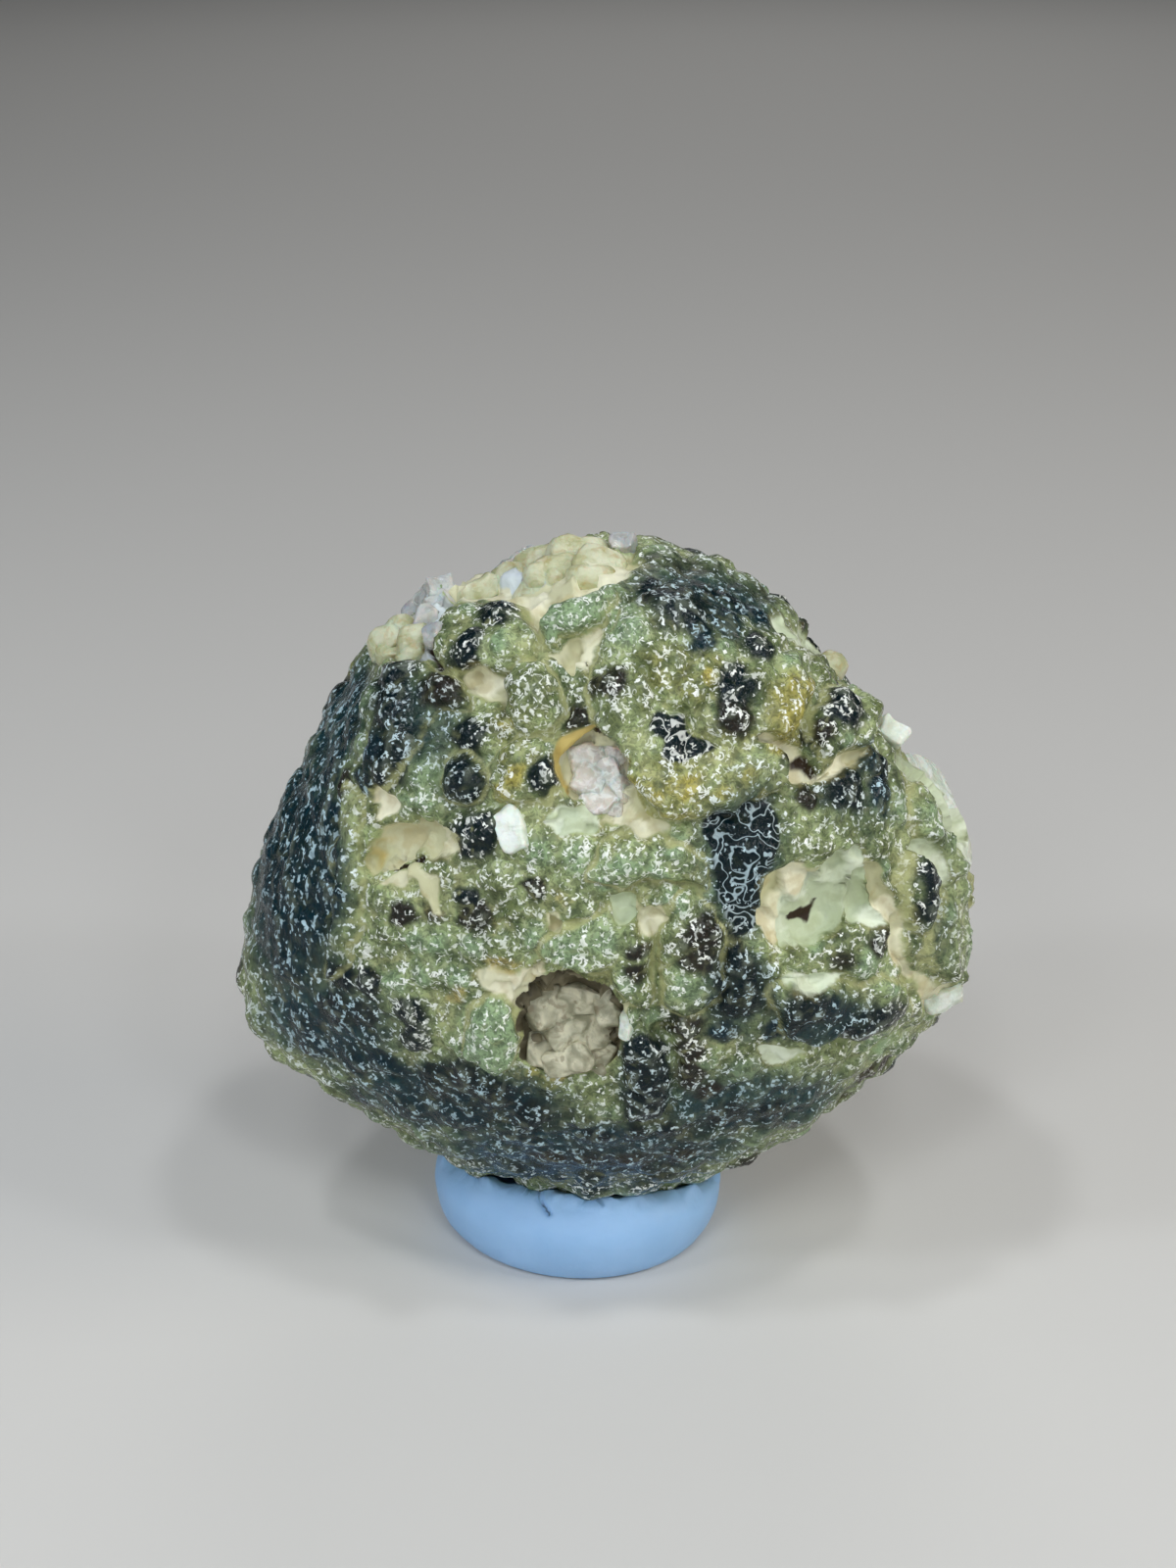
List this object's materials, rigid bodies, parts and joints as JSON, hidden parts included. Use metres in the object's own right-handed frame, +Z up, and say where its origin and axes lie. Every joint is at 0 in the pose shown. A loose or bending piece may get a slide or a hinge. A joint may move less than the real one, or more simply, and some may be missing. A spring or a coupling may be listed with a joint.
{
  "type": "gobi agate nodule",
  "caption": "Rounded gobi agate nodule with a wrinkled, wind-polished skin, held upright for display in a blob of soft putty.",
  "frame": {"origin": "on the surface that the putty stands on, under the middle of the object's box", "axes": "+Z up, the best face of the stone looks along -Y and a little up, +X to the viewer's right"},
  "size_m": [0.057, 0.0374, 0.058],
  "materials": {
    "agate_skin": "wind-polished chalcedony: glossy, slightly translucent, olive green with blue-black cells and cream hollows, wrinkled all over",
    "blue_putty": "smooth matt reusable putty in a light grey blue"
  },
  "bodies": {
    "root": {"nodule": "agate_skin", "putty": "blue_putty"}
  },
  "joints": []
}
